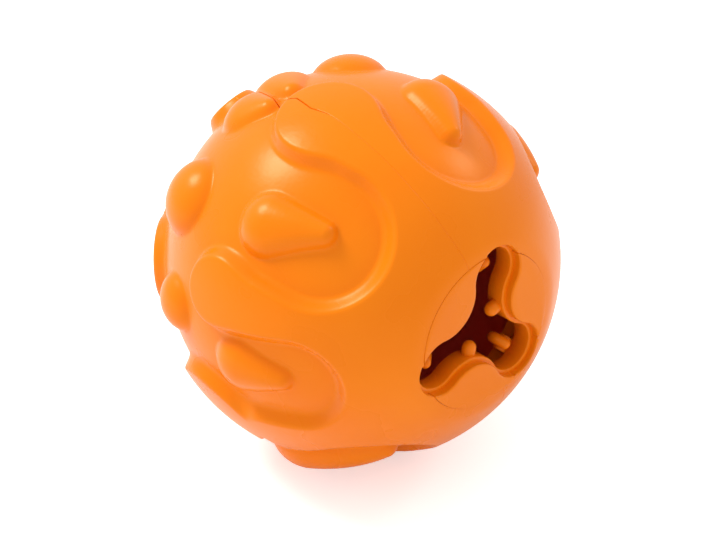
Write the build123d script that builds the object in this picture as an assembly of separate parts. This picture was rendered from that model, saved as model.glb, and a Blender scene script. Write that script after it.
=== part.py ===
from build123d import *
import os
from math import acos, cos, degrees, radians, sin, sqrt, tan

# Hollow rubber treat ball: two moulded halves, a mouth insert with a three-lobed opening,
# three bent retaining fingers and three ball-ended nubs.
# The relief is the same on both sides of the seam plane, which holds the mouth axis.
# The pieces are drawn with the mouth looking along +Z from the ball's centre.
# They are then laid on their side, so that the mouth looks along -Y with +Z up.

# Ball: radius over the raised relief, depth of the relief, wall under the relief
ball_radius = 40.0
relief_depth = 2.4
shell_wall = 5.6

# Resting attitude and seam, as turns about the mouth axis
mouth_roll = 78.7
seam_turn = 31.0

# Near relief: recessed lobes between raised tongues, angles counted from the mouth axis
# Each lobe has its turn from the seam, on both sides of it, and the half angle of its floor
near_lobes = ((30.2, 16.5), (82.5, 13.0), (131.0, 12.5), (180.0, 12.5))
near_lobe_angle = 58.7
near_tip_angle = 83.0

# Far relief: the same kind of lobes and tongues, angles counted from the far pole
far_lobes = ((0.0, 15.5), (38.0, 11.0), (72.5, 11.0), (108.0, 11.0), (144.0, 11.0), (180.0, 11.0))
far_lobe_angle = 62.0
far_tip_angle = 75.0

# Lean of the relief's walls from upright
relief_slope = 36.0

# Teardrop knobs: a large round end towards the belt and a small round end towards the pole
knob_round_radius = 8.0
knob_point_radius = 3.0
knob_rise = 2.6
knob_point_rise = 1.6
near_knob_offsets = (31.5, 79.0, 131.0, 180.0)
near_round_angle = 72.0
near_point_angle = 57.5
far_knob_offsets = (7.5, 38.0, 72.5, 108.0, 144.0, 180.0)
far_round_angle = 75.0
far_point_angle = 60.0

# Mouth: thin lip of the halves, the insert behind it and its three-lobed opening
insert_radius = 17.8
rim_wall = 1.7
lip_thickness = 1.6
insert_thickness = 5.6
flange_width = 2.5
opening_lobes = 3
opening_lobe_radius = 5.5
lobe_overshoot = 1.3
web_inset = 4.45
ledge_width = 0.8
seat_clearance = 0.1

# Retaining fingers: a bead that turns in a boss, an arm along the insert's back and an upright rod
finger_radius = 1.2
finger_inset = 0.4
finger_tip_depth = 1.8
finger_bend_radius = 2.0
bead_radius = 1.5
bead_length = 3.2
bead_outset = 0.6
boss_height = 1.7
boss_width = 5.2
bead_clearance = 0.06

# Ball-ended nubs on the web tips
nub_radius = 1.35
nub_reach = 1.15
nub_depth = 3.6
nub_clearance = 0.1

# How far a cutting tool runs past what it cuts
overrun = 5.0

recess_radius = ball_radius - relief_depth
cavity_radius = recess_radius - shell_wall
lip_under_height = sqrt(ball_radius**2 - (insert_radius + rim_wall)**2)
mouth_face_height = lip_under_height + lip_thickness
insert_back_height = mouth_face_height - insert_thickness
petal_radius = insert_radius - flange_width
opening_lobe_centre = petal_radius + lobe_overshoot - opening_lobe_radius
web_tip_radius = opening_lobe_centre - web_inset
finger_circle = opening_lobe_centre - finger_inset
bead_circle = petal_radius + bead_outset
bead_height = insert_back_height - boss_height


def polar(radius, angle, turn):
    """Point at a radius, an angle from the mouth axis and a turn about it."""
    flat = radius * sin(radians(angle))
    return Vector(flat * cos(radians(turn)), flat * sin(radians(turn)), radius * cos(radians(angle)))


def radial_plane(angle, turn):
    """Plane through the ball's centre that looks outwards, its X running away from the mouth."""
    outward = polar(1, angle, turn)
    away = polar(1, angle + 90, turn)
    return Plane(origin=(0, 0, 0), x_dir=away, z_dir=outward)


def solid_of_turn(profile, axis=Axis.Z):
    return revolve(profile, axis=axis, revolution_arc=360)


def both_sides(offset):
    """Turns of a feature that the seam plane mirrors, or does not when it lies on that plane."""
    return (offset,) if offset % 180 == 0 else (offset, -offset)


def lobe_outline(end_place, end_radius):
    """Slot outline of a recessed lobe: a round end towards the pole and parallel sides."""
    far_place = ball_radius
    with BuildSketch() as outline:
        with BuildLine():
            ThreePointArc((end_place, end_radius), (end_place - end_radius, 0), (end_place, -end_radius))
            Polyline(
                (end_place, -end_radius), (far_place, -end_radius), (far_place, end_radius), (end_place, end_radius)
            )
        make_face()
    return outline.sketch


def lobe_cutter(turn, half_angle, lobe_angle, tip_angle):
    """Tool that clears one lobe down to the recess, with walls that lean out at the relief slope."""
    draw_angle = (lobe_angle + tip_angle) / 2
    floor_height = recess_radius * cos(radians(half_angle))
    floor_radius = recess_radius * sin(radians(half_angle))
    end_place = recess_radius * sin(radians(lobe_angle - draw_angle))
    low = floor_height - overrun
    high = ball_radius + overrun
    lean = tan(radians(relief_slope))
    foot = Pos(0, 0, low) * lobe_outline(end_place, floor_radius - overrun * lean)
    brim = Pos(0, 0, high) * lobe_outline(end_place, floor_radius + (high - floor_height) * lean)
    return radial_plane(draw_angle, turn).location * loft([foot.face(), brim.face()], ruled=True)


def tongue_tip(turn, half_angle, tip_angle):
    """Round end of one raised tongue, narrowing outwards at the relief slope."""
    edge_height = ball_radius * cos(radians(half_angle))
    low = edge_height - 2 * overrun
    high = edge_height + relief_depth
    lean = tan(radians(relief_slope))
    top_radius = ball_radius * sin(radians(half_angle))
    body = Cone(
        top_radius + (edge_height - low) * lean,
        top_radius,
        edge_height - low,
        align=(Align.CENTER, Align.CENTER, Align.MIN),
    )
    body += Pos(0, 0, edge_height - low) * Cylinder(
        top_radius, high - edge_height, align=(Align.CENTER, Align.CENTER, Align.MIN)
    )
    return radial_plane(tip_angle, turn).location * Pos(0, 0, low) * body


def relief(lobes, lobe_angle, tip_angle):
    """Raised cap round +Z, cut by its lobes and ending in round tongues, as a region to cut the ball to."""
    brim_height = ball_radius * cos(radians(tip_angle))
    region = Pos(0, 0, brim_height) * Cylinder(
        2 * ball_radius, 2 * ball_radius, align=(Align.CENTER, Align.CENTER, Align.MIN)
    )
    wall_angle = degrees(relief_depth * tan(radians(relief_slope)) / ball_radius)
    places = sorted((turn, half) for offset, half in lobes for turn in both_sides(offset))
    region -= [lobe_cutter(turn, half, lobe_angle, tip_angle) for turn, half in places]
    for n, (turn, half) in enumerate(places):
        next_turn, next_half = places[(n + 1) % len(places)]
        gap = (next_turn - turn) % 360 - half - next_half - 2 * wall_angle
        region += tongue_tip(turn + half + wall_angle + gap / 2, gap / 2, tip_angle)
    return region


def knob(round_angle, point_angle, turn):
    """Teardrop knob: two balls joined by the cone that touches both, turned about their line."""
    round_centre = polar(recess_radius + knob_rise - knob_round_radius, round_angle, turn)
    point_centre = polar(recess_radius + knob_point_rise - knob_point_radius, point_angle, turn)
    along = point_centre - round_centre
    length = along.length
    touch = acos((knob_round_radius - knob_point_radius) / length)
    round_touch = (knob_round_radius * cos(touch), knob_round_radius * sin(touch))
    point_touch = (length + knob_point_radius * cos(touch), knob_point_radius * sin(touch))
    half = touch / 2
    with BuildSketch() as profile:
        with BuildLine():
            ThreePointArc((-knob_round_radius, 0), (0, knob_round_radius), round_touch)
            Line(round_touch, point_touch)
            ThreePointArc(
                point_touch,
                (length + knob_point_radius * cos(half), knob_point_radius * sin(half)),
                (length + knob_point_radius, 0),
            )
            Line((length + knob_point_radius, 0), (-knob_round_radius, 0))
        make_face()
    body = solid_of_turn(profile.sketch, Axis.X)
    place = Plane(origin=round_centre, x_dir=along, z_dir=polar(1, 90, turn + 90))
    return place.location * body


def opening_outline(inset):
    """Three-lobed opening: round lobes joined by web arcs that bulge towards the axis."""
    tip = web_tip_radius
    web_radius = (
        (opening_lobe_centre**2 + tip**2 - opening_lobe_centre * tip - opening_lobe_radius**2)
        / (2 * opening_lobe_radius - 2 * tip + opening_lobe_centre)
    )
    web_centre = tip + web_radius
    half_pitch = 180 / opening_lobes
    with BuildSketch() as outline:
        with BuildLine():
            for n in range(opening_lobes):
                turn = 2 * half_pitch * n
                lobe = polar(opening_lobe_centre, 90, turn)
                web_before = polar(web_centre, 90, turn - half_pitch)
                web_after = polar(web_centre, 90, turn + half_pitch)
                lobe_radius = opening_lobe_radius - inset
                start = lobe + (web_before - lobe).normalized() * lobe_radius
                end = lobe + (web_after - lobe).normalized() * lobe_radius
                next_lobe = polar(opening_lobe_centre, 90, turn + 2 * half_pitch)
                next_start = next_lobe + (web_after - next_lobe).normalized() * lobe_radius
                lobe_end = polar(opening_lobe_centre + lobe_radius, 90, turn)
                web_tip = polar(tip - inset, 90, turn + half_pitch)
                ThreePointArc(start, lobe_end, end)
                ThreePointArc(end, web_tip, next_start)
        make_face()
    return outline.sketch


def column(outline, low, high):
    """Upright column of an outline between two heights on the mouth axis."""
    return extrude(Pos(0, 0, low) * outline, amount=high - low)


def knobs(offsets, round_angle, point_angle):
    return [
        knob(round_angle, point_angle, seam_turn + turn) for offset in offsets for turn in both_sides(offset)
    ]


def whole_shell():
    """Ball with its relief, knobs, cavity, lip opening and the bore that takes the insert."""
    upright = Rot(0, 0, seam_turn)
    turned_over = Rot(0, 0, seam_turn) * Rot(180, 0, 0)
    body = Sphere(recess_radius)
    body += Sphere(ball_radius) & (upright * relief(near_lobes, near_lobe_angle, near_tip_angle))
    body += Sphere(ball_radius) & (turned_over * relief(far_lobes, far_lobe_angle, far_tip_angle))
    body += knobs(near_knob_offsets, near_round_angle, near_point_angle)
    body += knobs(far_knob_offsets, 180 - far_round_angle, 180 - far_point_angle)
    top = ball_radius + overrun
    body -= column(Circle(insert_radius + overrun), mouth_face_height, top)
    body -= column(Circle(petal_radius + seat_clearance), 0, top)
    body -= column(opening_outline(0), 0, top)
    body -= column(Circle(insert_radius + seat_clearance), 0, lip_under_height)
    body -= Sphere(cavity_radius)
    return body


def shell_half(body, side):
    """One moulded half, on one side of the seam plane."""
    reach = ball_radius + overrun
    block = Box(2 * reach, reach, 2 * reach, align=(Align.CENTER, Align.MIN, Align.CENTER))
    turn = seam_turn if side > 0 else seam_turn + 180
    return body & (Rot(0, 0, turn) * block)


def finger_frame(n):
    """Upright plane of one retaining finger: X outwards along the lobe, Y along the mouth axis."""
    turn = 360 / opening_lobes * n
    return Plane(origin=(0, 0, 0), x_dir=polar(1, 90, turn), z_dir=polar(1, 90, turn - 90))


def mouth_insert():
    """Insert: flange with the ledge opening, three petals that fill the lip, bosses and nub seats."""
    petals = column(Circle(petal_radius) - opening_outline(0), lip_under_height, mouth_face_height)
    flange = column(Circle(insert_radius) - opening_outline(ledge_width), insert_back_height, lip_under_height)
    body = flange + petals
    for n in range(opening_lobes):
        place = finger_frame(n).location
        boss = Pos(bead_circle, bead_height, 0) * Box(
            insert_radius, boss_height, boss_width, align=(Align.MIN, Align.MIN, Align.CENTER)
        )
        groove = Pos(bead_circle, bead_height, 0) * Cylinder(bead_radius + bead_clearance, boss_width)
        body += place * (boss - groove) & column(Circle(insert_radius), 0, mouth_face_height)
        body -= nub_frame(n).location * Sphere(nub_radius + nub_clearance)
    return body


def retaining_finger(n):
    """Bent finger: bead in its boss, arm towards the axis, upright rod with a round tip."""
    tip_height = mouth_face_height - finger_tip_depth - finger_radius
    corner = (finger_circle, bead_height)
    path = FilletPolyline(
        (bead_circle, bead_height), corner, (finger_circle, tip_height), radius=finger_bend_radius
    )
    start = Plane(origin=path @ 0, z_dir=path % 0)
    body = sweep(start * Circle(finger_radius), path=path)
    body += Pos(bead_circle, bead_height, 0) * Cylinder(bead_radius, bead_length)
    body += Pos(finger_circle, tip_height, 0) * Sphere(finger_radius)
    return finger_frame(n).location * body


def nub_frame(n):
    """Plane at one web tip, its Z pointing at the mouth axis."""
    turn = 360 / opening_lobes * (n + 1 / 2)
    root = polar(web_tip_radius - ledge_width, 90, turn)
    root.Z = mouth_face_height - nub_depth
    return Plane(origin=root, x_dir=(0, 0, 1), z_dir=polar(-1, 90, turn))


def web_nub(n):
    """Short stalk with a round root and a round tip."""
    body = Cylinder(nub_radius, nub_reach, align=(Align.CENTER, Align.CENTER, Align.MIN))
    body += Sphere(nub_radius)
    body += Pos(0, 0, nub_reach) * Sphere(nub_radius)
    return nub_frame(n).location * body


shell = whole_shell()
pieces = {
    "shell_half_left": shell_half(shell, 1),
    "shell_half_right": shell_half(shell, -1),
    "mouth_insert": mouth_insert(),
}
for n in range(opening_lobes):
    pieces[f"retaining_finger_{n + 1}"] = retaining_finger(n)
    pieces[f"web_nub_{n + 1}"] = web_nub(n)

# Lay the ball on its side: roll about the mouth axis, then turn the mouth to -Y
attitude = Rot(90, 0, 0) * Rot(0, 0, mouth_roll)

os.makedirs("parts", exist_ok=True)
for name, shape in pieces.items():
    export_step(attitude * shape, f"parts/{name}.step")
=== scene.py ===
import bpy
import numpy as np
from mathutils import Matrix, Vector


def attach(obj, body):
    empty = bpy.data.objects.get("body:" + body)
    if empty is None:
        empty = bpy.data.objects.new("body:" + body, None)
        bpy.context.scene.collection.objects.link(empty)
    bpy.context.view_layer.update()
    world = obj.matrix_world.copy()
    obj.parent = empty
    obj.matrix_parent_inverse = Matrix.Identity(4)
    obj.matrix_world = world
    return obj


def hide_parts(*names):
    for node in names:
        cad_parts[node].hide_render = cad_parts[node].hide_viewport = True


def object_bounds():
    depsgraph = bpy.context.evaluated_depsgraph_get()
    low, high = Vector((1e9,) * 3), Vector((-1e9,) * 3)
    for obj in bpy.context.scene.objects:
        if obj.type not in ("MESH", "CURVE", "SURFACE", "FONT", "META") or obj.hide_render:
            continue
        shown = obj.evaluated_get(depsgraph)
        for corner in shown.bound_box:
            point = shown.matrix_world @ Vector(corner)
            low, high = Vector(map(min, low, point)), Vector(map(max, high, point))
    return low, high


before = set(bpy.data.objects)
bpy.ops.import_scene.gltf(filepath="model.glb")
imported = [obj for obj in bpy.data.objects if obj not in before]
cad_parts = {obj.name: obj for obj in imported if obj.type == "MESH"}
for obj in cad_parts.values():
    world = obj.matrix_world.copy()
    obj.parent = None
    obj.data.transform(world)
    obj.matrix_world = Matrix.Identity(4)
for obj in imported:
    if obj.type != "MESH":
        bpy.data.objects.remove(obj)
cad_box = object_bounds()

# Ball, in metres, with angles in degrees counted from the mouth axis and turns about it
BALL_RADIUS = 0.040
RELIEF_DEPTH = 0.0024
SHELL_WALL = 0.0056
MOUTH_ROLL = 78.7
SEAM_TURN = 31.0

# Relief: each lobe has its turn from the seam and the angle and half angle of its round end
# Each tongue has the turn, the angle and the half angle of its round tip
# The near relief is the same on both sides of the seam
# The far relief's angles are counted from the far pole
# Its cap reaches less far where the photo shows it
NEAR_LOBES = ((30.2, 58.7, 16.5), (81.0, 58.7, 12.5), (135.0, 58.7, 16.5), (180.0, 58.7, 12.5))
NEAR_TONGUES = ((0.0, 80.0, 13.3), (57.0, 81.7, 9.2), (103.5, 92.5, 14.8), (155.5, 82.0, 9.5))
NEAR_CAP_ANGLE = 80.0
FAR_LOBES = (
    (-24.0, 40.0, 11.5), (24.0, 40.0, 11.5), (-72.5, 62.0, 11.0), (108.0, 62.0, 11.0),
    (-108.0, 62.0, 11.0), (144.0, 62.0, 11.0), (-144.0, 62.0, 11.0), (180.0, 62.0, 11.0),
)
FAR_TONGUES = (
    (0.0, 45.0, 7.2), (74.0, 44.0, 12.5), (126.0, 75.0, 4.0), (-126.0, 75.0, 4.0),
    (162.0, 75.0, 4.0), (-162.0, 75.0, 4.0), (-90.3, 75.0, 4.0),
)
FAR_CAP_TURNS = (-180.0, -83.0, -62.0, 97.0, 119.0, 180.0)
FAR_CAP_ANGLES = (75.0, 75.0, 42.0, 42.0, 75.0, 75.0)
WALL_WIDTH = 0.00175
BRIM_BLEND = 0.0005
FOOT_BLEND = 0.0009
TIP_BLEND = 0.0025
CAP_BLEND = 0.0045

# Knobs: turn from the seam and angle of the round end, the same of the nose, then the round end's
# radius and rise and the nose's rise
# A knob whose two ends are one place is a round dome
KNOBS = (
    (34.5, 73.5, 29.0, 58.5, 0.0062, 0.0030, 0.0024),
    (-34.5, 73.5, -29.0, 58.5, 0.0062, 0.0030, 0.0024),
    (79.0, 75.0, 80.0, 62.0, 0.0060, 0.0027, 0.0020),
    (-75.0, 74.0, -77.0, 60.0, 0.0062, 0.0030, 0.0024),
    (127.0, 76.0, 136.5, 53.0, 0.0082, 0.0046, 0.0020),
    (-135.0, 74.0, -135.0, 60.0, 0.0062, 0.0030, 0.0024),
    (180.0, 74.0, 180.0, 60.0, 0.0062, 0.0030, 0.0024),
    (6.8, 110.5, 4.5, 101.5, 0.0062, 0.0024, 0.0019),
    (-7.2, 111.5, -4.5, 101.5, 0.0062, 0.0023, 0.0018),
    (38.5, 109.5, 38.5, 109.5, 0.0080, 0.0038, 0.0030),
    (-31.0, 106.5, -31.0, 106.5, 0.0074, 0.0027, 0.0022),
    (71.0, 104.5, 71.0, 104.5, 0.0061, 0.0029, 0.0023),
    (-72.5, 105.0, -72.5, 120.0, 0.0060, 0.0026, 0.0016),
    (108.0, 105.0, 108.0, 120.0, 0.0060, 0.0026, 0.0016),
    (-108.0, 105.0, -108.0, 120.0, 0.0060, 0.0026, 0.0016),
    (144.0, 105.0, 144.0, 120.0, 0.0060, 0.0026, 0.0016),
    (-144.0, 105.0, -144.0, 120.0, 0.0060, 0.0026, 0.0016),
    (180.0, 105.0, 180.0, 120.0, 0.0060, 0.0026, 0.0016),
)
KNOB_NOSE_RADIUS = 0.0027
KNOB_FULLNESS = 0.72
KNOB_BLEND = 0.0008
KNOB_SKIRT = 1.5
KNOB_SAMPLES = 14

# Parting line: a fine groove, with a ragged tear as (angle, turn from the seam plane)
GROOVE_WIDTH = 0.00014
GROOVE_DEPTH = 0.00007
TEAR_LINE = (
    (76.0, 0.0), (79.0, 0.2), (84.0, 1.4), (90.7, 0.6), (92.7, 1.8), (93.0, 2.9),
    (96.0, 3.4), (101.0, 1.9), (108.0, 0.9), (118.0, 0.0),
)
TEAR_START = 78.0
TEAR_END = 118.0
TEAR_WIDTH = 0.00018
TEAR_DEPTH = 0.0006
TEAR_FADE = 12.0
WANDER_FADE = 25.0
GROOVE_SHARPNESS = 1.5

# Mouth
INSERT_RADIUS = 0.0178
RIM_WALL = 0.0017
LIP_THICKNESS = 0.0016
INSERT_THICKNESS = 0.0056
FLANGE_WIDTH = 0.0025
LOBE_COUNT = 3
LOBE_RADIUS = 0.0055
LOBE_OVERSHOOT = 0.0013
WEB_INSET = 0.00445
LEDGE_WIDTH = 0.0008
SEAT_CLEARANCE = 0.0001
RIM_ROUND = 0.00035
LEDGE_ROUND = 0.0003
SEAM_ROUND = 0.00008
FACET_BLEND = 0.0012
FACET_LEAST_COSINE = 0.1

# Fingers and nubs
FINGER_RADIUS = 0.00108
FINGER_INSET = 0.0004
FINGER_TIP_DEPTH = 0.0030
FINGER_LEAN = 0.0014
FINGER_BEND = 0.0020
BEAD_RADIUS = 0.0015
BEAD_LENGTH = 0.0032
BEAD_OUTSET = 0.0006
BOSS_HEIGHT = 0.0017
BOSS_WIDTH = 0.0052
BOSS_OVERLAP = 0.0001
BEAD_CLEARANCE = 0.00006
NUB_RADIUS = 0.00135
NUB_REACH = 0.00115
NUB_DEPTH = 0.0036

# Camera, from the photograph's view
CAMERA_DISTANCE = 0.28
CAMERA_AZIMUTH = -40.2
CAMERA_ELEVATION = 28.15
CAMERA_LENS = 71.06
CAMERA_SENSOR = 36.0
CAMERA_CLIP = 0.01
IMAGE_WIDTH = 716
BALL_LEFT_PIXELS = 1
BALL_UP_PIXELS = 11

# Worked out from the sizes above
RECESS_RADIUS = BALL_RADIUS - RELIEF_DEPTH
CAVITY_RADIUS = RECESS_RADIUS - SHELL_WALL
LIP_UNDER = np.sqrt(BALL_RADIUS**2 - (INSERT_RADIUS + RIM_WALL)**2)
FACE_HEIGHT = LIP_UNDER + LIP_THICKNESS
INSERT_BACK = FACE_HEIGHT - INSERT_THICKNESS
PETAL_RADIUS = INSERT_RADIUS - FLANGE_WIDTH
LOBE_CENTRE = PETAL_RADIUS + LOBE_OVERSHOOT - LOBE_RADIUS
WEB_TIP = LOBE_CENTRE - WEB_INSET
WEB_RADIUS = (
    (LOBE_CENTRE**2 + WEB_TIP**2 - LOBE_CENTRE * WEB_TIP - LOBE_RADIUS**2)
    / (2 * LOBE_RADIUS - 2 * WEB_TIP + LOBE_CENTRE)
)
WEB_CENTRE = WEB_TIP + WEB_RADIUS
FINGER_CIRCLE = LOBE_CENTRE - FINGER_INSET
BEAD_CIRCLE = PETAL_RADIUS + BEAD_OUTSET
BEAD_HEIGHT = INSERT_BACK - BOSS_HEIGHT
LOBE_PITCH = 360 / LOBE_COUNT
CORNER_TURN = np.degrees(np.arccos(
    (PETAL_RADIUS**2 + LOBE_CENTRE**2 - LOBE_RADIUS**2) / (2 * PETAL_RADIUS * LOBE_CENTRE)
))


def direction(angle, turn):
    """Unit vectors at angles from the mouth axis and turns about it, in degrees."""
    a = np.radians(angle)
    t = np.radians(np.asarray(turn) + MOUTH_ROLL)
    return np.stack(np.broadcast_arrays(np.sin(a) * np.cos(t), -np.cos(a), np.sin(a) * np.sin(t)), axis=-1)


def place(flat, height, turn):
    """Points at a distance from the mouth axis, a height along it and a turn about it."""
    t = np.radians(np.asarray(turn) + MOUTH_ROLL)
    return np.stack(np.broadcast_arrays(flat * np.cos(t), -height, flat * np.sin(t)), axis=-1)


def smooth_max(a, b, blend):
    """The larger of two values, rounded where they come within the blend of each other."""
    return np.maximum(a, b) + np.maximum(blend - np.abs(a - b), 0)**2 / (4 * blend)


def smooth_min(a, b, blend):
    """The smaller of two values, rounded in the same way."""
    return -smooth_max(-a, -b, blend)


def both_sides(offset):
    """A turn from the seam and its mirror, or the turn alone where it lies on the seam plane."""
    return (offset,) if offset % 180 == 0 else (offset, -offset)


def arc_between(d, e):
    """Length over the ball between directions, in metres."""
    return BALL_RADIUS * np.arccos(np.clip(np.sum(d * e, axis=-1), -1, 1))


def lobe_distance(d, angle, turn, half):
    """How far each direction lies outside a recessed lobe's foot, less than zero inside it."""
    outward = direction(angle, turn)
    away = direction(angle + 90, turn)
    side = np.cross(outward, away)
    along = np.sum(d * away, axis=-1)
    across = BALL_RADIUS * np.abs(np.arcsin(np.clip(np.sum(d * side, axis=-1), -1, 1)))
    return np.where(along > 0, across, arc_between(d, outward)) - BALL_RADIUS * np.radians(half)


def mirrored(rows):
    """Rows of a table on both sides of the seam."""
    return tuple((turn, *rest) for offset, *rest in rows for turn in both_sides(offset))


def raised_depth(angle, offset, lobes, tongues, cap_angle):
    """How far each place lies inside the foot of the raised relief round one pole."""
    d = direction(angle, offset)
    between = np.full(d.shape[:-1], np.inf)
    for turn, lobe_angle, half in lobes:
        between = np.minimum(between, lobe_distance(d, lobe_angle, turn, half))
    depth = smooth_min(BALL_RADIUS * np.radians(cap_angle - angle), between, CAP_BLEND)
    for turn, tip_angle, half in tongues:
        reach = BALL_RADIUS * np.radians(half) + WALL_WIDTH
        depth = smooth_max(depth, reach - arc_between(d, direction(tip_angle, turn)), TIP_BLEND)
    return depth


def relief_height(depth):
    """Height of the relief over its floor, from the depth inside its foot: a soft foot and a crisp brim."""
    ramp = smooth_max(depth / WALL_WIDTH * RELIEF_DEPTH, 0, FOOT_BLEND)
    return smooth_min(ramp, RELIEF_DEPTH, BRIM_BLEND)


def knob_height(d, round_turn, round_angle, nose_turn, nose_angle, round_radius, round_rise, nose_rise):
    """Height of one knob over the recess, running below it outside its outline."""
    height = np.full(d.shape[:-1], -np.inf)
    samples = 1 if (round_turn, round_angle) == (nose_turn, nose_angle) else KNOB_SAMPLES
    for share in np.linspace(0, 1, samples):
        turn = SEAM_TURN + round_turn + share * (nose_turn - round_turn)
        centre = direction(round_angle + share * (nose_angle - round_angle), turn)
        radius = round_radius + share * (KNOB_NOSE_RADIUS - round_radius)
        rise = round_rise + share * (nose_rise - round_rise)
        q = arc_between(d, centre) / radius
        dome = rise * np.maximum(1 - q**2, 0)**KNOB_FULLNESS
        skirt = KNOB_SKIRT * radius * np.maximum(q - 1, 0)
        height = np.maximum(height, dome - skirt)
    return height


def outer_radius(angle, turn):
    """Radius of the ball's outside: relief, knobs and the flat round the mouth."""
    offset = (turn - SEAM_TURN + 180) % 360 - 180
    far_cap = np.interp(offset, FAR_CAP_TURNS, FAR_CAP_ANGLES)
    near = raised_depth(angle, offset, mirrored(NEAR_LOBES), mirrored(NEAR_TONGUES), NEAR_CAP_ANGLE)
    far = raised_depth(180 - angle, offset, FAR_LOBES, FAR_TONGUES, far_cap)
    height = np.maximum(relief_height(near), relief_height(far))
    d = direction(angle, turn)
    for knob in KNOBS:
        height = smooth_max(height, knob_height(d, *knob), KNOB_BLEND)
    facing = np.maximum(np.cos(np.radians(angle)), FACET_LEAST_COSINE)
    return smooth_min(RECESS_RADIUS + height, FACE_HEIGHT / facing, FACET_BLEND)


def mouth_edge(turn):
    """Distance of the lip's edge from the mouth axis: a circle, cut by the opening's lobes."""
    t = np.radians((turn + LOBE_PITCH / 2) % LOBE_PITCH - LOBE_PITCH / 2)
    inside = np.maximum(LOBE_RADIUS**2 - (LOBE_CENTRE * np.sin(t))**2, 0)
    lobe = np.where(inside > 0, LOBE_CENTRE * np.cos(t) + np.sqrt(inside), 0)
    return np.maximum(PETAL_RADIUS + SEAT_CLEARANCE, lobe)


def seam_wander(angle):
    """Turn of the parting line from the seam plane, on the near side of the seam."""
    angles, turns = zip(*TEAR_LINE)
    return np.interp(angle, angles, turns)


def tear_share(angle):
    """How far the parting line is torn open at an angle, from 0 to 1."""
    rise = np.clip((angle - TEAR_START) / TEAR_FADE, 0, 1)
    fall = np.clip((TEAR_END - angle) / TEAR_FADE, 0, 1)
    return np.minimum(rise, fall)


def mesh_piece(name, points, faces, materials, face_slots=None):
    """Smooth piece from points and faces, with its materials and the slot of each face."""
    mesh = bpy.data.meshes.new(name)
    mesh.from_pydata([tuple(p) for p in points], [], faces)
    for material in materials:
        mesh.materials.append(material)
    if face_slots is not None:
        mesh.polygons.foreach_set("material_index", face_slots)
    mesh.shade_smooth()
    mesh.update()
    piece = bpy.data.objects.new(name, mesh)
    bpy.context.scene.collection.objects.link(piece)
    return piece


def crease(piece, degrees):
    """Edges between faces that meet at more than this angle stay sharp."""
    piece.data.set_sharp_from_angle(angle=np.radians(degrees))


def grid_faces(rows, columns, closed=False):
    """Quads of a grid of points, row by row, with its columns closed into a ring or not."""
    count = columns if closed else columns - 1
    return [
        (
            r * columns + c,
            r * columns + (c + 1) % columns,
            (r + 1) * columns + (c + 1) % columns,
            (r + 1) * columns + c,
        )
        for r in range(rows - 1)
        for c in range(count)
    ]


def strip_between(one, other, one_places, other_places):
    """Triangles between two chains of vertices, stepping along whichever is behind."""
    faces = []
    i = j = 0
    while i < len(one) - 1 or j < len(other) - 1:
        step_one = j == len(other) - 1 or (i < len(one) - 1 and one_places[i + 1] <= other_places[j + 1])
        if step_one:
            faces.append((one[i], one[i + 1], other[j]))
            i += 1
        else:
            faces.append((one[i], other[j + 1], other[j]))
            j += 1
    return faces


# Shell halves
SEAM_STEPS = (0.0, 0.1, 0.22, 0.4, 0.65, 1.0, 1.5)
COLUMN_STEP = 0.66
EDGE_STEPS = (-0.25, 0.0, 0.25)
FIRST_ROW = 179.0
BELT_START = 148.0
BELT_END = 35.0
LAST_ROW = 28.0
FAR_ROWS = 20
BELT_ROWS = 262
NEAR_ROWS = 9
ROW_ANGLES = np.concatenate([
    np.linspace(FIRST_ROW, BELT_START, FAR_ROWS, endpoint=False),
    np.linspace(BELT_START, BELT_END, BELT_ROWS, endpoint=False),
    np.linspace(BELT_END, LAST_ROW, NEAR_ROWS),
])
MOUTH_ROWS = 6
ROUND_ROWS = 3
CAVITY_ROWS = 26
LIP_PLACE_STEP = 0.1
SHELL_CREASE = 50


def half_turns(start):
    """Turns of a half's columns: close together by the seam and at the corners of the lip."""
    end = start + 180
    turns = [start + step for step in SEAM_STEPS] + [end - step for step in SEAM_STEPS]
    inner = np.arange(start + SEAM_STEPS[-1], end - SEAM_STEPS[-1], COLUMN_STEP)[1:]
    turns.extend(inner[inner < end - SEAM_STEPS[-1] - COLUMN_STEP / 2])
    for lobe in np.arange(-LOBE_PITCH, 360 + LOBE_PITCH, LOBE_PITCH):
        for side in (-1, 1):
            for step in EDGE_STEPS:
                turn = lobe + side * CORNER_TURN + step
                if start + SEAM_STEPS[-1] < turn < end - SEAM_STEPS[-1]:
                    turns.append(turn)
    return np.array(sorted(turns))


def outer_angles(edge, rim):
    """Angles of the outside's points, row by row, the last rows running to the lip's edge."""
    rows = [np.full(len(edge), a) for a in ROW_ANGLES]
    last = np.degrees(np.arctan((edge + rim) / FACE_HEIGHT))
    for share in np.linspace(0, 1, MOUTH_ROWS + 1)[1:]:
        rows.append(ROW_ANGLES[-1] + share * (last - ROW_ANGLES[-1]))
    return np.array(rows)


def groove_depth(angles, from_seam, near_seam):
    """Depth of the parting line's groove, wider and deeper where it is torn."""
    torn = np.where(near_seam, tear_share(angles), 0)
    seam_distance = np.radians(from_seam) * np.sin(np.radians(angles)) * BALL_RADIUS
    width = GROOVE_WIDTH + torn * (TEAR_WIDTH - GROOVE_WIDTH)
    depth = GROOVE_DEPTH + torn * (TEAR_DEPTH - GROOVE_DEPTH)
    return depth * np.clip(1 - seam_distance / width, 0, 1)**GROOVE_SHARPNESS


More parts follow.
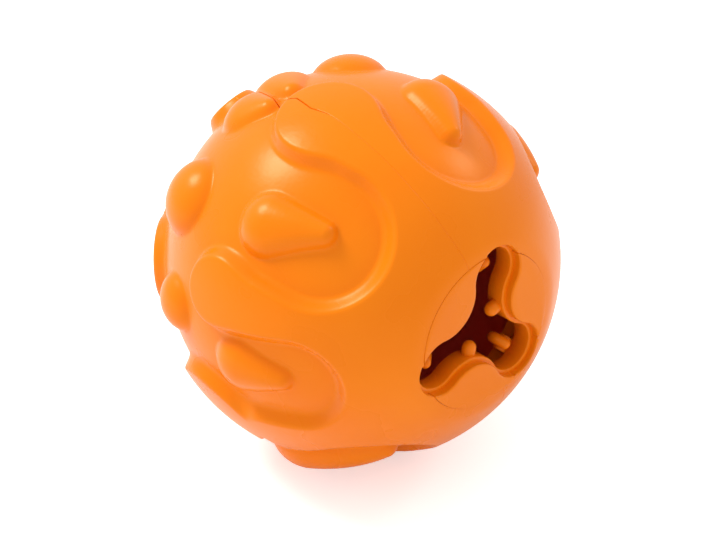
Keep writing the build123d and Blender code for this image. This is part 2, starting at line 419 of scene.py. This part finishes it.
def shell_half(name, start, material, inside):
    """One half of the hollow ball, from its seam turn over 180 degrees."""
    turns = half_turns(start)
    columns = len(turns)
    from_seam = np.minimum(turns - start, start + 180 - turns)
    near_seam = np.where(turns - start < 90, start, start + 180) % 360 == SEAM_TURN % 360
    edge = mouth_edge(turns)
    rim = np.where(edge > PETAL_RADIUS + 2 * SEAT_CLEARANCE, RIM_ROUND, SEAM_ROUND)
    angles = outer_angles(edge, rim)

    # Columns by the seam follow the parting line, and drop into its groove
    wander = np.where(near_seam, seam_wander(angles), 0) * np.clip(1 - from_seam / WANDER_FADE, 0, 1)
    all_turns = turns + wander
    radius = outer_radius(angles, all_turns) - groove_depth(angles, from_seam, near_seam)
    rows = list(direction(angles, all_turns) * radius[..., None])

    # Round over the lip's edge, then the lip's wall, its underside, the bore and the cavity
    top = radius[-1] * np.cos(np.radians(angles[-1]))
    for bend in np.linspace(0, np.pi / 2, ROUND_ROWS + 1)[1:]:
        rows.append(place(edge + rim * (1 - np.sin(bend)), top - rim * (1 - np.cos(bend)), turns))
    bore = INSERT_RADIUS + SEAT_CLEARANCE
    bore_end = np.sqrt(CAVITY_RADIUS**2 - bore**2)
    outer_rows = len(angles)
    rows.append(place(edge, np.full(columns, LIP_UNDER), turns))
    rows.append(place(np.full(columns, bore), np.full(columns, LIP_UNDER), turns))
    inside_rows = len(rows)
    rows.append(place(np.full(columns, bore), np.full(columns, bore_end), turns))
    mouth_angle = np.degrees(np.arcsin(bore / CAVITY_RADIUS))
    inner_angles = np.linspace(mouth_angle, 180, CAVITY_ROWS + 1)[1:-1]
    for a in inner_angles:
        rows.append(direction(a, turns) * CAVITY_RADIUS)

    grid = np.array(rows)
    count = len(rows)
    points = grid.reshape(-1, 3).tolist()
    outer_pole = len(points)
    points.append(direction(180.0, 0.0) * outer_radius(np.array([180.0]), np.array([start]))[0])
    inner_pole = len(points)
    points.append(direction(180.0, 0.0) * CAVITY_RADIUS)
    faces = grid_faces(count, columns)
    # Faces of the hollow inside the ball take the second material, whose redder colour is painted shade
    slots = [0 if f[0] // columns < inside_rows else 1 for f in faces]
    final = (count - 1) * columns
    for c in range(columns - 1):
        faces.append((outer_pole, c + 1, c))
        slots.append(0)
        faces.append((inner_pole, final + c, final + c + 1))
        slots.append(1)

    # Flat faces on the seam plane, from the outside to the lip, bore and cavity
    for column in (0, columns - 1):
        outer = [outer_pole] + [r * columns + column for r in range(inside_rows - 1)]
        inner = [inner_pole] + [r * columns + column for r in range(count - 1, inside_rows - 2, -1)]
        outer_places = [0] + [180 - a for a in angles[:, column]]
        for n in range(1, inside_rows - outer_rows):
            outer_places.append(180 - angles[-1, column] + LIP_PLACE_STEP * n)
        inner_places = [0] + [180 - a for a in inner_angles[::-1]]
        inner_places += [180 - mouth_angle, 180 - mouth_angle + LIP_PLACE_STEP]
        strip = strip_between(outer, inner, outer_places, inner_places)
        if column:
            strip = [f[::-1] for f in strip]
        faces.extend(strip)
        slots.extend([0] * len(strip))
    piece = mesh_piece(name, points, faces, [material, inside], slots)
    crease(piece, SHELL_CREASE)
    return piece


# Mouth insert
OUTLINE_STEPS_LOBE = 14
OUTLINE_STEPS_SIDE = 22
OUTLINE_STEPS_WEB = 26
PETAL_SHARES = (0.15, 0.4, 0.7, 0.95)
BEND_STEPS = 9
MOUTH_CREASE = 55


def opening_lobe(n):
    """Points of one lobe and the web after it, outward normals and the turn of each column's outer end."""
    turn = n * LOBE_PITCH
    lobe = np.array([LOBE_CENTRE, 0.0])
    half_pitch = np.radians(LOBE_PITCH / 2)
    web = WEB_CENTRE * np.array([np.cos(half_pitch), np.sin(half_pitch)])
    meet = np.degrees(np.arctan2(web[1] - lobe[1], web[0] - lobe[0]))
    corner = np.radians(CORNER_TURN)
    corner_point = PETAL_RADIUS * np.array([np.cos(corner), np.sin(corner)])
    corner_bend = np.degrees(np.arctan2(*(corner_point - lobe)[::-1]))
    bends = np.concatenate([
        np.linspace(-corner_bend, corner_bend, OUTLINE_STEPS_LOBE, endpoint=False),
        np.linspace(corner_bend, meet, OUTLINE_STEPS_SIDE, endpoint=False),
    ])
    outline = []
    for bend in np.radians(bends):
        normal = np.array([np.cos(bend), np.sin(bend)])
        outline.append((lobe + LOBE_RADIUS * normal, normal))
    web_start = np.radians(meet + 180)
    web_end = 2 * (half_pitch + np.pi) - web_start
    for bend in np.linspace(web_start, web_end, OUTLINE_STEPS_WEB, endpoint=False):
        normal = -np.array([np.cos(bend), np.sin(bend)])
        outline.append((web - WEB_RADIUS * normal, normal))
    next_lobe = LOBE_CENTRE * np.array([np.cos(2 * half_pitch), np.sin(2 * half_pitch)])
    turned = np.degrees(2 * half_pitch)
    side_bends = np.linspace(turned - meet, turned - corner_bend, OUTLINE_STEPS_SIDE, endpoint=False)
    for bend in np.radians(side_bends):
        normal = np.array([np.cos(bend), np.sin(bend)])
        outline.append((next_lobe + LOBE_RADIUS * normal, normal))
    points = np.array([p for p, _ in outline])
    normals = np.array([m for _, m in outline])
    petal = len(outline) - OUTLINE_STEPS_LOBE
    ends = np.concatenate([
        np.degrees(np.arctan2(points[:OUTLINE_STEPS_LOBE, 1], points[:OUTLINE_STEPS_LOBE, 0])),
        np.linspace(CORNER_TURN, LOBE_PITCH - CORNER_TURN, petal, endpoint=False),
    ])
    in_petal = np.concatenate([np.zeros(OUTLINE_STEPS_LOBE), np.ones(petal)])
    in_petal[OUTLINE_STEPS_LOBE] = 0
    radians = np.radians(turn)
    rotate = np.array([[np.cos(radians), -np.sin(radians)], [np.sin(radians), np.cos(radians)]])
    return points @ rotate.T, normals @ rotate.T, ends + turn, in_petal


def mouth_insert(name, material):
    """Insert with the three-lobed opening, its ledge and petals, and the bosses on its back."""
    parts = [opening_lobe(n) for n in range(LOBE_COUNT)]
    outline, normals, ends, in_petal = (np.concatenate([p[i] for p in parts]) for i in range(4))
    ledge = outline - LEDGE_WIDTH * normals

    def at(xy, height):
        turn = np.degrees(np.arctan2(xy[:, 1], xy[:, 0]))
        return place(np.hypot(xy[:, 0], xy[:, 1]), height * np.ones(len(xy)), turn)

    def ring(radius, height):
        return place(radius * np.ones(len(ends)), height * np.ones(len(ends)), ends)

    rows = [at(ledge + LEDGE_ROUND * normals, INSERT_BACK), at(ledge, INSERT_BACK + LEDGE_ROUND)]
    for bend in np.linspace(0, np.pi / 2, ROUND_ROWS + 1):
        inwards = ledge + LEDGE_ROUND * (1 - np.cos(bend)) * normals
        rows.append(at(inwards, LIP_UNDER - LEDGE_ROUND * (1 - np.sin(bend))))

    # Petal wall, its rounded edge, its top and its outer edge; between petals all of it lies on the ledge
    petal_top = LIP_UNDER + in_petal * LIP_THICKNESS
    rows.append(at(outline, LIP_UNDER))
    for bend in np.linspace(0, np.pi / 2, ROUND_ROWS + 1):
        back = in_petal * RIM_ROUND * (1 - np.cos(bend))
        drop = in_petal * RIM_ROUND * (1 - np.sin(bend))
        rows.append(at(outline + back[:, None] * normals, petal_top - drop))
    rim = PETAL_RADIUS + SEAT_CLEARANCE / 2
    outer = np.stack([rim * np.cos(np.radians(ends)), rim * np.sin(np.radians(ends))], axis=1)
    outer = np.where(in_petal[:, None] > 0, outer, outline)
    inner = outline + (in_petal * RIM_ROUND)[:, None] * normals
    for share in PETAL_SHARES:
        rows.append(at(inner + share * (outer - inner), petal_top))
    rows.append(at(outer, petal_top - in_petal * SEAM_ROUND))
    rows.append(at(outer, LIP_UNDER))
    rows.append(ring(INSERT_RADIUS - LEDGE_ROUND, LIP_UNDER))
    rows.append(ring(INSERT_RADIUS, LIP_UNDER - LEDGE_ROUND))
    rows.append(ring(INSERT_RADIUS, INSERT_BACK + LEDGE_ROUND))
    rows.append(ring(INSERT_RADIUS - LEDGE_ROUND, INSERT_BACK))
    grid = np.array(rows)
    columns = len(ends)
    faces = grid_faces(len(rows), columns, closed=True)
    last = (len(rows) - 1) * columns
    faces += [(last + c, last + (c + 1) % columns, (c + 1) % columns, c) for c in range(columns)]
    parts = [(grid.reshape(-1, 3).tolist(), faces)] + [boss(n) for n in range(LOBE_COUNT)]
    piece = mesh_piece(name, *joined(parts), [material])
    crease(piece, MOUTH_CREASE)
    return piece


def boss(n):
    """Block on the insert's back that holds a finger's bead in a round groove."""
    groove = BEAD_RADIUS + BEAD_CLEARANCE
    section = [(BEAD_CIRCLE, INSERT_BACK + BOSS_OVERLAP)]
    for bend in np.linspace(np.pi / 2, 0, BEND_STEPS):
        section.append((BEAD_CIRCLE + groove * np.cos(bend), BEAD_HEIGHT + groove * np.sin(bend)))
    outside = np.sqrt(INSERT_RADIUS**2 - (BOSS_WIDTH / 2)**2) - BOSS_OVERLAP
    section += [(outside, BEAD_HEIGHT), (outside, INSERT_BACK + BOSS_OVERLAP)]
    points = []
    for side in (-BOSS_WIDTH / 2, BOSS_WIDTH / 2):
        for out, height in section:
            turn = n * LOBE_PITCH + np.degrees(np.arctan2(side, out))
            points.append(place(np.hypot(out, side), height, turn).tolist())
    count = len(section)
    faces = [(c, (c + 1) % count, count + (c + 1) % count, count + c) for c in range(count)]
    faces.append(tuple(range(count))[::-1])
    faces.append(tuple(range(count, 2 * count)))
    return points, faces


# Fingers and nubs
SWEEP_SIDES = 32
# A rod that bends less than this is straight, and its sides are set by the spare direction
STRAIGHT_BEND = 1e-6
SPARE_DIRECTION = (0.31, 0.87, 0.39)
# Bead: shares of its length along it, each with the share of its radius there
BEAD_SHARES = ((-0.5, 0.85), (-0.46, 1.0), (0.46, 1.0), (0.5, 0.85))


def joined(parts):
    """One list of points and one of faces, from several."""
    points = []
    faces = []
    for part_points, part_faces in parts:
        faces += [tuple(len(points) + i for i in face) for face in part_faces]
        points += part_points
    return points, faces


def swept_rod(points, radii):
    """Rod along a chain of points, with a radius at each and a flat face at both ends."""
    points = np.array(points)
    along = np.gradient(points, axis=0)
    along /= np.linalg.norm(along, axis=1)[:, None]
    across = np.cross(along[0], along[len(along) // 2])
    if np.linalg.norm(across) < STRAIGHT_BEND:
        across = np.cross(along[0], SPARE_DIRECTION)
    across /= np.linalg.norm(across)
    sides = np.linspace(0, 2 * np.pi, SWEEP_SIDES, endpoint=False)
    rows = []
    for p, a, r in zip(points, along, radii):
        u = across - a * np.dot(across, a)
        u /= np.linalg.norm(u)
        v = np.cross(a, u)
        rows.append(p + r * (np.cos(sides)[:, None] * u + np.sin(sides)[:, None] * v))
    grid = np.array(rows)
    faces = grid_faces(len(rows), SWEEP_SIDES, closed=True)
    last = (len(rows) - 1) * SWEEP_SIDES
    faces.append(tuple(range(SWEEP_SIDES))[::-1])
    faces.append(tuple(last + n for n in range(SWEEP_SIDES)))
    return grid.reshape(-1, 3).tolist(), faces


def retaining_finger(n, material):
    """Bent finger in one lobe of the opening, with the bead that it turns on."""
    turn = n * LOBE_PITCH
    tip = FACE_HEIGHT - FINGER_TIP_DEPTH
    path = [(BEAD_CIRCLE, BEAD_HEIGHT), (FINGER_CIRCLE + FINGER_BEND, BEAD_HEIGHT)]
    for bend in np.linspace(0, np.pi / 2, BEND_STEPS)[1:]:
        path.append((
            FINGER_CIRCLE + FINGER_BEND * (1 - np.sin(bend)),
            BEAD_HEIGHT + FINGER_BEND * (1 - np.cos(bend)),
        ))
    radii = [FINGER_RADIUS] * len(path)
    foot = np.array(path[-1])
    top = np.array([FINGER_CIRCLE + FINGER_LEAN, tip - FINGER_RADIUS])
    lean = (top - foot) / np.linalg.norm(top - foot)
    for bend in np.linspace(0, np.pi / 2, BEND_STEPS)[:-1]:
        path.append(tuple(top + lean * FINGER_RADIUS * np.sin(bend)))
        radii.append(FINGER_RADIUS * np.cos(bend))
    rod = swept_rod([place(flat, height, turn) for flat, height in path], radii)
    centre = place(BEAD_CIRCLE, BEAD_HEIGHT, turn)
    across = place(BEAD_CIRCLE, BEAD_HEIGHT, turn + 90) - place(0.0, BEAD_HEIGHT, turn)
    across /= np.linalg.norm(across)
    bead = swept_rod(
        [centre + across * BEAD_LENGTH * share for share, _ in BEAD_SHARES],
        [BEAD_RADIUS * part for _, part in BEAD_SHARES],
    )
    piece = mesh_piece(f"finger_{n + 1}_rod", *joined([rod, bead]), [material])
    crease(piece, MOUTH_CREASE)
    return piece


def web_nub(n, material):
    """Ball-ended nub on the web after one lobe."""
    turn = (n + 0.5) * LOBE_PITCH
    root = WEB_TIP - LEDGE_WIDTH
    height = FACE_HEIGHT - NUB_DEPTH
    path = []
    radii = []
    for bend in np.linspace(-np.pi / 2, 0, BEND_STEPS)[1:]:
        path.append(root - NUB_RADIUS * np.sin(bend))
        radii.append(NUB_RADIUS * np.cos(bend))
    for bend in np.linspace(0, np.pi / 2, BEND_STEPS)[:-1]:
        path.append(root - NUB_REACH - NUB_RADIUS * np.sin(bend))
        radii.append(NUB_RADIUS * np.cos(bend))
    points = [place(flat, height, turn) for flat in path]
    return mesh_piece(f"nub_{n + 1}_ball", *swept_rod(points, radii), [material])


# Materials
MOTTLE_SCALE = 60.0
MOTTLE_DETAIL = 3.0
MOTTLE_LOW = 0.3
MOTTLE_HIGH = 0.7
PITTING_SCALE = 900.0
PITTING_DETAIL = 2.0
PITTING_STRENGTH = 0.12
PITTING_DEPTH = 0.0002
ROUGHNESS_SPREAD = 0.06
RUBBER_IOR = 1.42
RUBBER_SPECULAR = 0.35
RUBBER_TINT = (1.0, 0.72, 0.42, 1)
ORANGE = (0.85, 0.203, 0.003)
ORANGE_DEEP = (0.83, 0.184, 0.002)
ORANGE_ROUGHNESS = 0.28
# The inside of the ball is the same rubber as the outside; its redder colour here is painted shade,
# standing in for the deep red of the dim hollow
CAVITY_PAINTED_SHADE = (0.95, 0.19, 0.13)
CAVITY_PAINTED_SHADE_DEEP = (0.92, 0.17, 0.11)
CAVITY_ROUGHNESS = 0.5


def rubber(name, colour, deep, roughness):
    """Moulded rubber: slight mottling, fine pitting and a satin finish."""
    material = bpy.data.materials.new(name)
    material.use_nodes = True
    nodes = material.node_tree.nodes
    links = material.node_tree.links
    shader = nodes["Principled BSDF"]
    where = nodes.new("ShaderNodeTexCoord")
    mottle = nodes.new("ShaderNodeTexNoise")
    mottle.inputs["Scale"].default_value = MOTTLE_SCALE
    mottle.inputs["Detail"].default_value = MOTTLE_DETAIL
    links.new(where.outputs["Object"], mottle.inputs["Vector"])
    ramp = nodes.new("ShaderNodeValToRGB")
    ramp.color_ramp.elements[0].position = MOTTLE_LOW
    ramp.color_ramp.elements[0].color = (*deep, 1)
    ramp.color_ramp.elements[1].position = MOTTLE_HIGH
    ramp.color_ramp.elements[1].color = (*colour, 1)
    links.new(mottle.outputs["Fac"], ramp.inputs["Fac"])
    links.new(ramp.outputs["Color"], shader.inputs["Base Color"])
    fine = nodes.new("ShaderNodeTexNoise")
    fine.inputs["Scale"].default_value = PITTING_SCALE
    fine.inputs["Detail"].default_value = PITTING_DETAIL
    links.new(where.outputs["Object"], fine.inputs["Vector"])
    finish = nodes.new("ShaderNodeMapRange")
    finish.inputs["To Min"].default_value = roughness - ROUGHNESS_SPREAD
    finish.inputs["To Max"].default_value = roughness + ROUGHNESS_SPREAD
    links.new(mottle.outputs["Fac"], finish.inputs["Value"])
    links.new(finish.outputs["Result"], shader.inputs["Roughness"])
    bump = nodes.new("ShaderNodeBump")
    bump.inputs["Strength"].default_value = PITTING_STRENGTH
    bump.inputs["Distance"].default_value = PITTING_DEPTH
    links.new(fine.outputs["Fac"], bump.inputs["Height"])
    links.new(bump.outputs["Normal"], shader.inputs["Normal"])
    shader.inputs["IOR"].default_value = RUBBER_IOR
    shader.inputs["Specular IOR Level"].default_value = RUBBER_SPECULAR
    shader.inputs["Specular Tint"].default_value = RUBBER_TINT
    return material


orange = rubber("orange_rubber", ORANGE, ORANGE_DEEP, ORANGE_ROUGHNESS)
# The hollow's faces get painted shade: a redder copy of the rubber for the dim inside of the ball
cavity = rubber("cavity_rubber_painted_shade", CAVITY_PAINTED_SHADE, CAVITY_PAINTED_SHADE_DEEP, CAVITY_ROUGHNESS)

left = shell_half("ball_half_left", SEAM_TURN, orange, cavity)
right = shell_half("ball_half_right", SEAM_TURN + 180, orange, cavity)
insert = mouth_insert("mouth_ring", orange)
for piece, node in ((left, "shell_half_left"), (right, "shell_half_right")):
    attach(piece, "ball")
    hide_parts(node)
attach(insert, "ball")
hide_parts("mouth_insert")
for n in range(LOBE_COUNT):
    finger = retaining_finger(n, orange)
    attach(finger, f"finger_{n + 1}")
    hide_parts(f"retaining_finger_{n + 1}")
    nub = web_nub(n, orange)
    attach(nub, f"nub_{n + 1}")
    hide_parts(f"web_nub_{n + 1}")


# Floor, light and camera
FLOOR_SIZE = 6.0
FLOOR_COLOUR = (0.93, 0.93, 0.93, 1)
FLOOR_ROUGHNESS = 0.8
FLOOR_LIFT = 0.48
WORLD_LIGHT = 0.88
WORLD_SEEN = 1.0
# Softboxes: name, direction from the ball, distance, size and power
SOFTBOXES = (
    ("key_softbox", (-0.37, 0.46, 0.79), 0.8, 0.26, 4.5),
    ("side_softbox", (0.75, -0.25, 0.6), 0.8, 0.16, 0.6),
)


def floor_material():
    """Pale floor that looks brighter to the camera than it is to the ball."""
    material = bpy.data.materials.new("pale_floor")
    material.use_nodes = True
    nodes = material.node_tree.nodes
    links = material.node_tree.links
    diffuse = nodes["Principled BSDF"]
    diffuse.inputs["Base Color"].default_value = FLOOR_COLOUR
    diffuse.inputs["Roughness"].default_value = FLOOR_ROUGHNESS
    diffuse.inputs["Specular IOR Level"].default_value = 0.0
    lift = nodes.new("ShaderNodeEmission")
    lift.inputs["Strength"].default_value = FLOOR_LIFT
    add = nodes.new("ShaderNodeAddShader")
    ray = nodes.new("ShaderNodeLightPath")
    mix = nodes.new("ShaderNodeMixShader")
    links.new(diffuse.outputs["BSDF"], add.inputs[0])
    links.new(lift.outputs["Emission"], add.inputs[1])
    links.new(ray.outputs["Is Camera Ray"], mix.inputs["Fac"])
    links.new(diffuse.outputs["BSDF"], mix.inputs[1])
    links.new(add.outputs["Shader"], mix.inputs[2])
    links.new(mix.outputs["Shader"], nodes["Material Output"].inputs["Surface"])
    return material


floor_height = cad_box[0][2]
floor_mesh = bpy.data.meshes.new("floor")
half_floor = FLOOR_SIZE / 2
floor_mesh.from_pydata(
    [
        (-half_floor, -half_floor, floor_height),
        (half_floor, -half_floor, floor_height),
        (half_floor, half_floor, floor_height),
        (-half_floor, half_floor, floor_height),
    ],
    [],
    [(0, 1, 2, 3)],
)
floor_mesh.materials.append(floor_material())
floor = bpy.data.objects.new("floor", floor_mesh)
bpy.context.scene.collection.objects.link(floor)

world = bpy.data.worlds.new("studio")
bpy.context.scene.world = world
world.use_nodes = True
tree = world.node_tree
background = tree.nodes["Background"]
background.inputs["Color"].default_value = (1, 1, 1, 1)
ray = tree.nodes.new("ShaderNodeLightPath")
strength = tree.nodes.new("ShaderNodeMapRange")
strength.inputs["To Min"].default_value = WORLD_LIGHT
strength.inputs["To Max"].default_value = WORLD_SEEN
tree.links.new(ray.outputs["Is Camera Ray"], strength.inputs["Value"])
tree.links.new(strength.outputs["Result"], background.inputs["Strength"])


def softbox(name, towards, distance, size, power):
    """Square light in one direction from the ball, facing it."""
    lamp = bpy.data.lights.new(name, "AREA")
    lamp.shape = "SQUARE"
    lamp.size = size
    lamp.energy = power
    light = bpy.data.objects.new(name, lamp)
    light.location = Vector(towards).normalized() * distance
    light.rotation_euler = light.location.to_track_quat("Z", "Y").to_euler()
    bpy.context.scene.collection.objects.link(light)


for row in SOFTBOXES:
    softbox(*row)

camera_data = bpy.data.cameras.new("photo_view")
camera_data.lens = CAMERA_LENS
camera_data.sensor_width = CAMERA_SENSOR
camera_data.shift_x = BALL_LEFT_PIXELS / IMAGE_WIDTH
camera_data.shift_y = -BALL_UP_PIXELS / IMAGE_WIDTH
camera_data.clip_start = CAMERA_CLIP
camera = bpy.data.objects.new("photo_view", camera_data)
azimuth = np.radians(CAMERA_AZIMUTH)
elevation = np.radians(CAMERA_ELEVATION)
back = Vector((
    np.sin(azimuth) * np.cos(elevation),
    -np.cos(azimuth) * np.cos(elevation),
    np.sin(elevation),
))
camera.location = back * CAMERA_DISTANCE
camera.rotation_euler = back.to_track_quat("Z", "Y").to_euler()
bpy.context.scene.collection.objects.link(camera)
bpy.context.scene.camera = camera
bpy.context.scene.view_settings.view_transform = "Standard"
